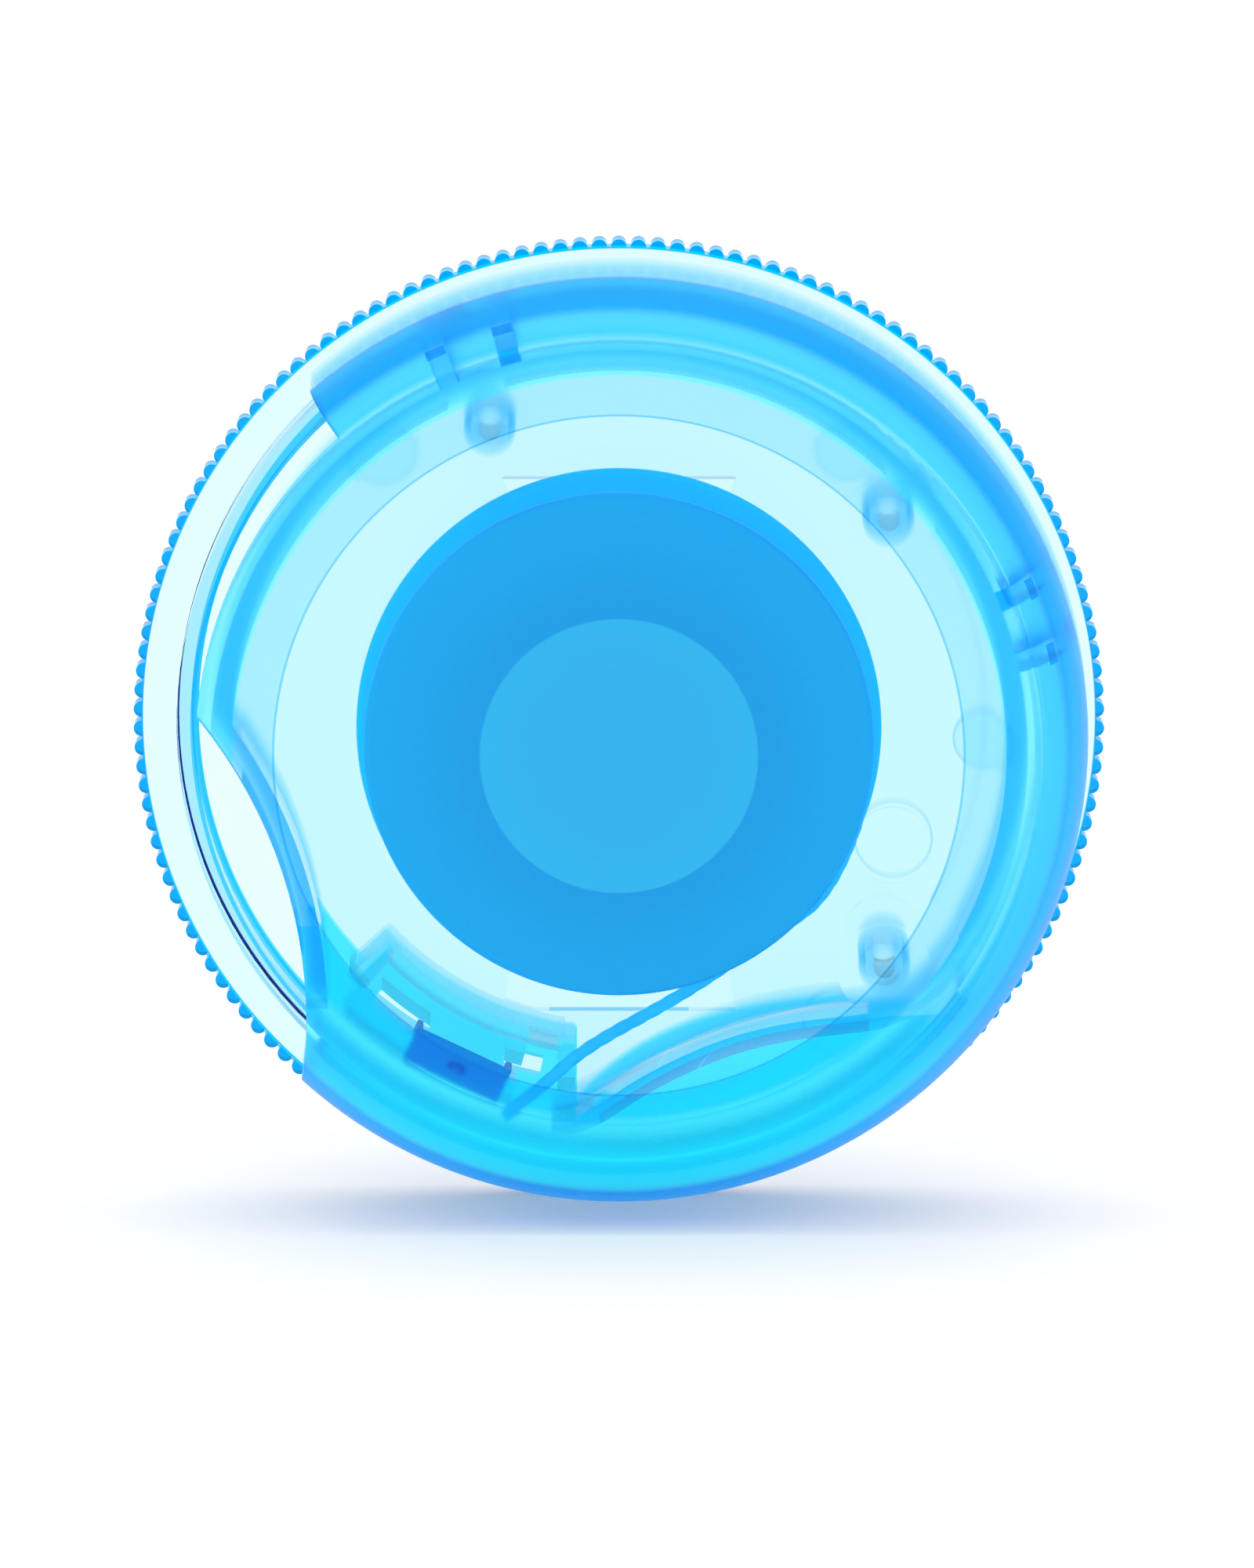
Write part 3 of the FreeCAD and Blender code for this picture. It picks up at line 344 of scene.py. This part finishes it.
cover_shader.set(Roughness=frost_outside * haze + patch * PATCH_ROUGHNESS + CLEAR_ROUGHNESS,
                 Base_Color=cover_colour)
grain = cover_shader.add("ShaderNodeTexNoise", {}, Scale=FINE_GRAIN, Detail=2.0)
cover_shader.bump(grain * (frost_outside + patch * 0.5), GRAIN_STRENGTH, GRAIN_DEPTH)
print("ribs at", ", ".join(str(angle) for angle in RIB_ANGLES), "degrees")

# %% [markdown]
# Real plastic scatters a little of the light that runs along inside it, so its thick edges seem
# to glow. Volume Absorption only takes light away, and a weak emission stands in for the
# scattering: a painted glow in the edges, the channel and the lower part of the cover. A painted
# glow also makes the round patch in the middle of the window paler. Where many clear faces lie
# close behind each other, a share of the light also passes straight through, which keeps the
# pieces inside readable.

# %% Cover: painted glow of the edges and the patch, and the light that passes straight
# Painted light: emission colours for the edges, the channel, the lower part and the patch.
CHANNEL_PAINTED_GLOW = (0.0, 0.04, 0.08, 1.0)
EDGE_PAINTED_GLOW = (0.0, 0.0, 0.08, 1.0)
LOW_PAINTED_GLOW = (0.0, 0.20, 0.10, 1.0)
PATCH_PAINTED_GLOW = (0.02, 0.13, 0.08, 1.0)
EDGE_GLOW_START, EDGE_GLOW_END = 27.0 * MM, 27.8 * MM
CHANNEL_GLOW_START, CHANNEL_GLOW_END = 23.2 * MM, 25.2 * MM
LOW_GLOW_START, LOW_GLOW_END = 21.0 * MM, 26.0 * MM
LOW_TOP, LOW_BOTTOM = 14.0 * MM, 27.0 * MM
# right and up of the axis, in mm
PIN_PLACES = ((-7.91, 19.98), (16.53, 14.37), (16.32, -13.5))
BOSS_RADIUS = 2.9 * MM
WALL_INNER, WALL_OUTER = 23.2 * MM, 25.3 * MM
SIDE_STRAIGHT, BOSS_STRAIGHT, WALL_STRAIGHT = 0.85, 0.95, 0.6
on_edge = from_axis.ramp(EDGE_GLOW_START, EDGE_GLOW_END)
channel_painted_glow = cover_shader.mix(
    from_axis.ramp(CHANNEL_GLOW_START, CHANNEL_GLOW_END), DARK, CHANNEL_PAINTED_GLOW)
glow = cover_shader.mix(
    in_front, DARK, cover_shader.mix(on_edge, channel_painted_glow, EDGE_PAINTED_GLOW))
low_painted_glow = cover_shader.mix(on_edge, cover_shader.mix(
    from_axis.ramp(LOW_GLOW_START, LOW_GLOW_END), DARK, LOW_PAINTED_GLOW), EDGE_PAINTED_GLOW)
low = (0.0 - up).ramp(LOW_TOP, LOW_BOTTOM)
cover_shader.set(Emission_Color=cover_shader.mix(patch, cover_shader.mix(
    low, glow, low_painted_glow), PATCH_PAINTED_GLOW), Emission_Strength=1.0)
on_bosses = cover_shader.near(right, up, PIN_PLACES, BOSS_RADIUS) * behind_face
on_wall = (from_axis > WALL_INNER) * (from_axis < WALL_OUTER) * behind_face * (1.0 - on_ribs)
cover_shader.pass_straight((
    (1.0 - in_front) * SIDE_STRAIGHT + on_bosses * BOSS_STRAIGHT + on_wall * WALL_STRAIGHT
    ).maths("MINIMUM", BOSS_STRAIGHT))
wear("front_cover", cover_shader)

# %% [markdown]
# The base, the carrier and the spool are polished all over. A moulding is never perfectly flat,
# so a very faint, slow wave in the surface keeps the reflections alive. On the base, the knurl
# and the lip are painted a deep blue, painted shade for the long path that light takes through
# them seen end-on. The ejector pins of the mould leave round marks on it, some of them with a
# dull disc and some with only a ring.

# %% Base
BASE_TINT = (0.90, 0.975, 1.0, 1.0)
# Painted shade: the knurl's bumps and the lip line are painted deep blue.
BUMP_PAINTED_SHADE = (0.0, 0.40, 0.88, 1.0)
LIP_PAINTED_SHADE = (0.02, 0.55, 0.95, 1.0)
DISC_TINT = (0.50, 0.88, 1.0, 1.0)
DISC_SHARE, MARK_SHARE = 0.5, 0.4
KNURL_DEPTH, KNURL_BLEND = 0.62 * MM, 0.08 * MM
LIP_LINE = 26.0 * MM
LIP_LINE_WIDTH = 0.45 * MM
THIN_LINE = 0.14 * MM
STEP_RADIUS = 22.55 * MM
STEP_START = 19.3 * MM
# right and up of the axis and radius, all in mm, then 1 for a disc or 0 for a ring
MOULD_MARKS = (
    (-14.6, 16.5, 2.2, 1), (14.1, 16.6, 2.05, 1), (22.6, -1.6, 1.95, 1),
    (13.4, -19.4, 2.05, 0), (17.0, -7.9, 2.45, 0))


def polished(name, density=ABSORPTION_PER_METRE):
    """The clear plastic, with a faint wave in its surface."""
    shader = clear_plastic(name, density)
    waves = shader.add("ShaderNodeTexNoise", {}, Scale=90.0, Detail=1.0)
    shader.bump(waves, 0.04, 0.05 * MM)
    return shader


base_shader = polished("clear_blue_base")
right, back, up = base_shader.places()
from_axis = (right * right + up * up).root()
knurl_root = rim_radius - KNURL_DEPTH
on_bumps = from_axis.ramp(knurl_root, knurl_root + KNURL_BLEND)
on_lip = (from_axis > LIP_LINE) * (from_axis < LIP_LINE + LIP_LINE_WIDTH)
marks = (from_axis > STEP_RADIUS) * (from_axis < STEP_RADIUS + THIN_LINE) * (right > STEP_START)
discs = 0.0
for mark_right, mark_up, mark_radius, is_disc in MOULD_MARKS:
    across = right - mark_right * MM
    above = up - mark_up * MM
    distance = (across * across + above * above).root()
    inside = distance < mark_radius * MM
    marks = marks + inside * (distance > mark_radius * MM - THIN_LINE)
    discs = inside * is_disc + discs
plain_base = base_shader.mix(discs * DISC_SHARE, BASE_TINT, DISC_TINT)
plain_base = base_shader.mix(marks.maths("MINIMUM", 1.0) * MARK_SHARE, plain_base, LINE_TINT)
plain_base = base_shader.mix(on_lip, plain_base, LIP_PAINTED_SHADE)
base_shader.set(Base_Color=base_shader.mix(on_bumps, plain_base, BUMP_PAINTED_SHADE))
wear("knurled_base", base_shader)

# %% [markdown]
# The carrier lies behind the frosted ring, so the painted shade, the deep blue below the lead
# wall and beside the cutter's block, goes on in it. The faces that run from front to back are
# seen end-on, and a darker painted shade on them draws the outline of its plate. A mask for them
# comes from the direction that each face looks in.

# %% Carrier
# Painted shade: a deep blue below the lead wall and beside the block, and a darker blue on the
# side faces.
DEEP_PAINTED_SHADE = (0.05, 0.85, 1.0, 1.0)
SIDE_PAINTED_SHADE = (0.10, 0.62, 0.93, 1.0)
CARRIER_DENSITY = 110.0
BLOCK_RADIUS = 19.5 * MM
BLOCK_SLOPE = 0.933
BLOCK_TOP = 11.5 * MM
SHELF_RADIUS = 21.85 * MM
SOFT_EDGE = 0.3 * MM
PIN_RADIUS = 1.4 * MM
OUTLINE_END = 18.9 * MM
STRAIGHT_SHARE = 0.5
PIN_STRAIGHT, DEEP_BENT = 0.4, 0.8
carrier_shader = polished("clear_blue_carrier", CARRIER_DENSITY)
right, back, up = carrier_shader.places()
from_axis = (right * right + up * up).root()
border = lead_border(right)
under_lead = (0.0 - up).ramp(border - SOFT_EDGE, border + SOFT_EDGE) * (right > -LEAD_RIGHT)
in_block = from_axis.ramp(BLOCK_RADIUS, BLOCK_RADIUS + SOFT_EDGE) * (up < right * BLOCK_SLOPE)
beside_block = (in_block + (from_axis > SHELF_RADIUS)) * (right < -LEAD_RIGHT) * (up < -BLOCK_TOP)
deep = (under_lead + beside_block).maths("MINIMUM", 1.0)
on_pins = carrier_shader.near(right, up, PIN_PLACES, PIN_RADIUS)
# Painted shade: the side faces are painted a darker blue.
edges = carrier_shader.faces_sideways() * (1.0 - on_pins) * (from_axis < OUTLINE_END)
carrier_shader.set(Base_Color=carrier_shader.mix(deep, carrier_shader.mix(
    edges, WHITE, SIDE_PAINTED_SHADE), DEEP_PAINTED_SHADE))
carrier_shader.pass_straight(
    (on_pins * PIN_STRAIGHT + STRAIGHT_SHARE) * (1.0 - edges) * (1.0 - deep * DEEP_BENT))
wear("spool_carrier", carrier_shader)

# %% [markdown]
# The spool is full of floss and lets no light through, so it is the darkest blue. Painted light
# makes it a little lighter towards its edge, and a painted glow, stronger towards the edge and
# strongest on the side away from the viewer, stands in for the light it catches.

# %% Spool
MIDDLE_RADIUS, EDGE_RADIUS = 3.0 * MM, 15.5 * MM
REAR_START = -2.0 * MM
# Painted light: lighter towards the edge, with a painted glow that is strongest on the rear side.
SPOOL_MIDDLE, SPOOL_EDGE_PAINTED_LIGHT = (0.0, 0.44, 0.92, 1.0), (0.0, 0.60, 1.0, 1.0)
SPOOL_MIDDLE_PAINTED_GLOW, SPOOL_EDGE_PAINTED_GLOW = (0.0, 0.0, 0.05, 1.0), (0.0, 0.02, 0.15, 1.0)
REAR_PAINTED_GLOW = (0.0, 0.16, 0.45, 1.0)
spool_shader = Shader("deep_blue_spool")
right, back, up = spool_shader.places()
from_axis = (right * right + up * up).root()
outwards = from_axis.ramp(MIDDLE_RADIUS, EDGE_RADIUS)
spool_painted_glow = spool_shader.mix(outwards, SPOOL_MIDDLE_PAINTED_GLOW, SPOOL_EDGE_PAINTED_GLOW)
spool_shader.set(
    Base_Color=spool_shader.mix(outwards, SPOOL_MIDDLE, SPOOL_EDGE_PAINTED_LIGHT),
    Roughness=0.35, Specular_IOR_Level=0.05, Emission_Strength=1.0,
    Emission_Color=spool_shader.mix(back.ramp(REAR_START, 0.0), spool_painted_glow, REAR_PAINTED_GLOW))
wear("floss_bobbin", spool_shader)

# %% [markdown]
# Waxed floss is a bundle of fine filaments, twisted a little. Its filaments run along it, and the
# wax gives them a soft shine. A painted glow lights the floss, which lies in the shade inside the
# case.

# %% Floss
FLOSS_DARK, FLOSS_LIGHT = (0.01, 0.32, 0.66, 1.0), (0.05, 0.50, 0.84, 1.0)
# Painted light: emission that makes the floss glow.
FLOSS_DARK_PAINTED_GLOW, FLOSS_LIGHT_PAINTED_GLOW = (0.0, 0.24, 0.50, 1.0), (0.0, 0.34, 0.66, 1.0)
floss_shader = Shader("waxed_floss")
fibres = floss_shader.add("ShaderNodeTexNoise", {}, Scale=900.0, Detail=3.0)
floss_shader.set(
    Base_Color=floss_shader.mix(fibres, FLOSS_DARK, FLOSS_LIGHT),
    Roughness=0.45, Coat_Weight=0.0, Specular_IOR_Level=0.1,
    Emission_Color=floss_shader.mix(fibres, FLOSS_DARK_PAINTED_GLOW, FLOSS_LIGHT_PAINTED_GLOW),
    Emission_Strength=1.0)
floss_shader.bump(fibres, 0.3, 0.05 * MM)
print("floss finish ready")

# %% [markdown]
# The floss itself is a bundle of filaments with a slight twist. A curve can sweep any
# outline along a route, so the outline here is a circle with six low lobes, and the route's
# tilt turns it slowly on the way. The lobes then run round the floss as filaments do.

# %% Sweeping a bundle of filaments along a route
FLOSS_RADIUS = 0.40 * MM
LOBES = 6
LOBE_DEPTH_SHARE = 0.12
OUTLINE_POINTS = 30
TWIST_LENGTH = 7.0 * MM


def floss_outline():
    """The closed outline of the bundle, as a curve."""
    data = bpy.data.curves.new("floss_outline", "CURVE")
    data.dimensions = "2D"
    line = data.splines.new("POLY")
    line.points.add(OUTLINE_POINTS - 1)
    for index, point in enumerate(line.points):
        angle = 2 * math.pi * index / OUTLINE_POINTS
        lobe = 0.5 - 0.5 * math.cos(LOBES * angle)
        radius = FLOSS_RADIUS * (1 - LOBE_DEPTH_SHARE * lobe)
        point.co = (radius * math.cos(angle), radius * math.sin(angle), 0, 1)
    line.use_cyclic_u = True
    outline = bpy.data.objects.new("floss_outline", data)
    bpy.context.scene.collection.objects.link(outline)
    return outline


def floss_along(name, route, steps):
    """A twisted bundle along a route, as a mesh."""
    outline = floss_outline()
    data = bpy.data.curves.new(name, "CURVE")
    data.dimensions = "3D"
    data.resolution_u = steps
    line = data.splines.new("NURBS")
    line.points.add(len(route) - 1)
    travelled = 0.0
    for index, (point, place) in enumerate(zip(line.points, route)):
        point.co = (*place, 1)
        if index:
            travelled += (place - route[index - 1]).length
        point.tilt = 2 * math.pi * travelled / TWIST_LENGTH
    line.order_u = 3
    line.use_endpoint_u = True
    data.bevel_mode = "OBJECT"
    data.bevel_object = outline
    data.use_fill_caps = True
    piece = bpy.data.objects.new(name, data)
    bpy.context.scene.collection.objects.link(piece)
    bpy.ops.object.select_all(action="DESELECT")
    piece.select_set(True)
    bpy.context.view_layer.objects.active = piece
    bpy.ops.object.convert(target="MESH")
    bpy.ops.object.shade_smooth()
    bpy.data.objects.remove(outline)
    piece.data.materials.clear()
    piece.data.materials.append(floss_shader.material)
    print(name, round(travelled / MM, 1), "mm long,", len(piece.data.polygons), "faces")
    return piece


# %% [markdown]
# On the spool the floss lies in even turns, one beside the other, from the rear flange to
# the front flange. Under them is the rest of the floss, a plain drum. The drum is a
# rectangle that is spun round the axis.

# %% Floss on the spool
FLANGE = 0.8 * MM
LAY_GAP = 0.1 * MM
LAY_PITCH = 0.88 * MM
STEPS_ROUND = 24
winding_low, winding_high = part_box("floss_winding")
half_step = math.pi / STEPS_ROUND
lay_radius = (winding_high.x - winding_low.x) / 2 - FLOSS_RADIUS
lay_rear = spool_high.y - FLANGE - LAY_GAP - FLOSS_RADIUS
lay_front = spool_low.y + FLANGE + LAY_GAP + FLOSS_RADIUS
lay_steps = int((lay_rear - lay_front) / LAY_PITCH * STEPS_ROUND)
lay_route = []
for step in range(lay_steps + 1):
    angle = 2 * half_step * step
    outwards = lay_radius / math.cos(half_step)
    lay_route.append(Vector((outwards * math.cos(angle),
                             lay_rear - LAY_PITCH * step / STEPS_ROUND,
                             axis_height + outwards * math.sin(angle))))
turns = floss_along("floss_turns", lay_route, 3)

DRUM_SINK = 0.3 * MM
DRUM_ROUND = 0.3 * MM
HUB_RADIUS = 7.6 * MM
STEPS_OF_DRUM = 96
drum_outer = lay_radius - DRUM_SINK
drum_depth = lay_rear - lay_front + 2 * FLOSS_RADIUS
bpy.ops.object.select_all(action="DESELECT")
bpy.ops.mesh.primitive_plane_add(size=1)
drum = bpy.context.active_object
drum.name = "floss_on_spool"
bpy.ops.object.mode_set(mode="EDIT")
bpy.ops.transform.resize(value=(drum_outer - HUB_RADIUS, drum_depth, 1))
bpy.ops.transform.translate(
    value=((drum_outer + HUB_RADIUS) / 2, (lay_rear + lay_front) / 2, axis_height))
bpy.ops.mesh.bevel(offset=DRUM_ROUND, segments=3, affect="VERTICES")
bpy.ops.mesh.select_all(action="SELECT")
bpy.ops.mesh.delete(type="ONLY_FACE")
bpy.ops.mesh.select_all(action="SELECT")
bpy.ops.mesh.spin(steps=STEPS_OF_DRUM, angle=2 * math.pi, center=axis_middle, axis=(0, 1, 0))
bpy.ops.mesh.select_all(action="SELECT")
bpy.ops.mesh.remove_doubles(threshold=0.001 * MM)
bpy.ops.mesh.normals_make_consistent(inside=False)
bpy.ops.object.mode_set(mode="OBJECT")
bpy.ops.object.shade_smooth()
drum.data.materials.append(floss_shader.material)
turns.select_set(True)
bpy.ops.object.join()
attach(drum, "spool")
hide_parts("floss_winding")
print("floss on the spool:", round(lay_steps / STEPS_ROUND, 2), "turns over the drum")

# %% [markdown]
# The end of the floss leaves the spool at the lower right, runs under the window to the
# guide rib and turns down to the cutter. Its route is a few points, given as distances to
# the right of the axis and above it, and the curve is drawn smoothly through their middle.

# %% Floss from the spool to the cutter
STRAND_ROUTE = ((15.07, -4.04), (13.60, -9.54), (8.93, -12.79), (3.84, -16.34),
                (-2.2, -19.6), (-5.0, -22.3), (-7.1, -23.75))
strand_low, strand_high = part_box("floss_strand")
strand_level = (strand_low.y + strand_high.y) / 2
strand = floss_along(
    "floss_to_cutter",
    [Vector((place[0] * MM, strand_level, axis_height + place[1] * MM))
     for place in STRAND_ROUTE], 16)
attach(strand, "case")
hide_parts("floss_strand")

# %% [markdown]
# The cutter is punched from blued spring steel. Rolling leaves it unevenly dull, and a fine
# noise in the roughness shows that.

# %% Cutter
BLUED_STEEL = (0.0, 0.30, 0.80, 1.0)
STEEL_ROUGHNESS, STEEL_UNEVEN = 0.3, 0.15
steel_shader = Shader("cutter_steel")
dullness = steel_shader.add("ShaderNodeTexNoise", {}, Scale=1500.0, Detail=2.0)
steel_shader.set(Base_Color=BLUED_STEEL, Metallic=1.0,
                 Roughness=dullness * STEEL_UNEVEN + STEEL_ROUGHNESS)
wear("cutter_blade", steel_shader)

# %% [markdown]
# The floor is white, and so is all that lies beyond it, so there is no line between them.
# Clear plastic shows what is behind it, so the background is part of its finish.

# %% White floor
FLOOR_HALF = 3.0
bpy.ops.object.select_all(action="DESELECT")
bpy.ops.mesh.primitive_plane_add(size=2 * FLOOR_HALF, location=(0, 0, 0))
floor = bpy.context.active_object
floor.name = "white_floor"
floor_shader = Shader("white_floor")
floor_shader.set(Base_Color=(0.97, 0.97, 0.97, 1.0), Roughness=0.7, Specular_IOR_Level=0.0,
                 Emission_Color=WHITE, Emission_Strength=0.2)
floor.data.materials.append(floor_shader.material)
print("floor", 2 * FLOOR_HALF, "m wide")

# %% [markdown]
# A backlit product is lit by white all round, with one large soft lamp overhead for the
# soft shadow on the floor.

# %% Light
world = bpy.data.worlds.new("white_studio")
world.use_nodes = True
world.node_tree.nodes["Background"].inputs["Color"].default_value = (1.0, 1.0, 1.0, 1.0)
world.node_tree.nodes["Background"].inputs["Strength"].default_value = 0.86
scene = bpy.context.scene
scene.world = world


def soft_lamp(name, place, width, height, watts, aim=axis_middle):
    data = bpy.data.lights.new(name, "AREA")
    data.shape = "RECTANGLE"
    data.size = width
    data.size_y = height
    data.energy = watts
    lamp = bpy.data.objects.new(name, data)
    lamp.location = place
    lamp.rotation_mode = "QUATERNION"
    lamp.rotation_quaternion = (Vector(aim) - Vector(place)).to_track_quat("-Z", "Y")
    scene.collection.objects.link(lamp)
    return lamp


soft_lamp("overhead_lamp", (0, 0.05, 0.6), 0.5, 0.35, 0.5)
print("lamps:", len(bpy.data.lights))

# %% [markdown]
# A long lens from far away keeps a round case round. The camera looks down on it a little,
# which shows the front of the knurled rim above the cover.

# %% Camera
CAMERA_ELEVATION = math.radians(10.5)
CAMERA_DISTANCE = 1.6
PHOTO_HEIGHT = 2000.0
PIXELS_PER_MM = 20.7
AIM = Vector((0.5 * MM, 0, axis_height - 3.2 * MM))
camera_data = bpy.data.cameras.new("camera")
camera_data.sensor_width = 36.0
camera_data.lens = 36.0 * CAMERA_DISTANCE / (PHOTO_HEIGHT / PIXELS_PER_MM * MM)
camera_data.clip_end = 20.0
camera = bpy.data.objects.new("camera", camera_data)
towards_viewer = Vector((0, -math.cos(CAMERA_ELEVATION), math.sin(CAMERA_ELEVATION)))
camera.location = AIM + towards_viewer * CAMERA_DISTANCE
camera.rotation_mode = "QUATERNION"
camera.rotation_quaternion = (-towards_viewer).to_track_quat("-Z", "Y")
scene.collection.objects.link(camera)
scene.camera = camera
print("lens", round(camera_data.lens), "mm")

# %% Picture settings
scene.view_settings.view_transform = "Standard"
scene.cycles.max_bounces = 32
scene.cycles.transmission_bounces = 32
scene.cycles.glossy_bounces = 8
print("light may pass", scene.cycles.transmission_bounces, "faces")
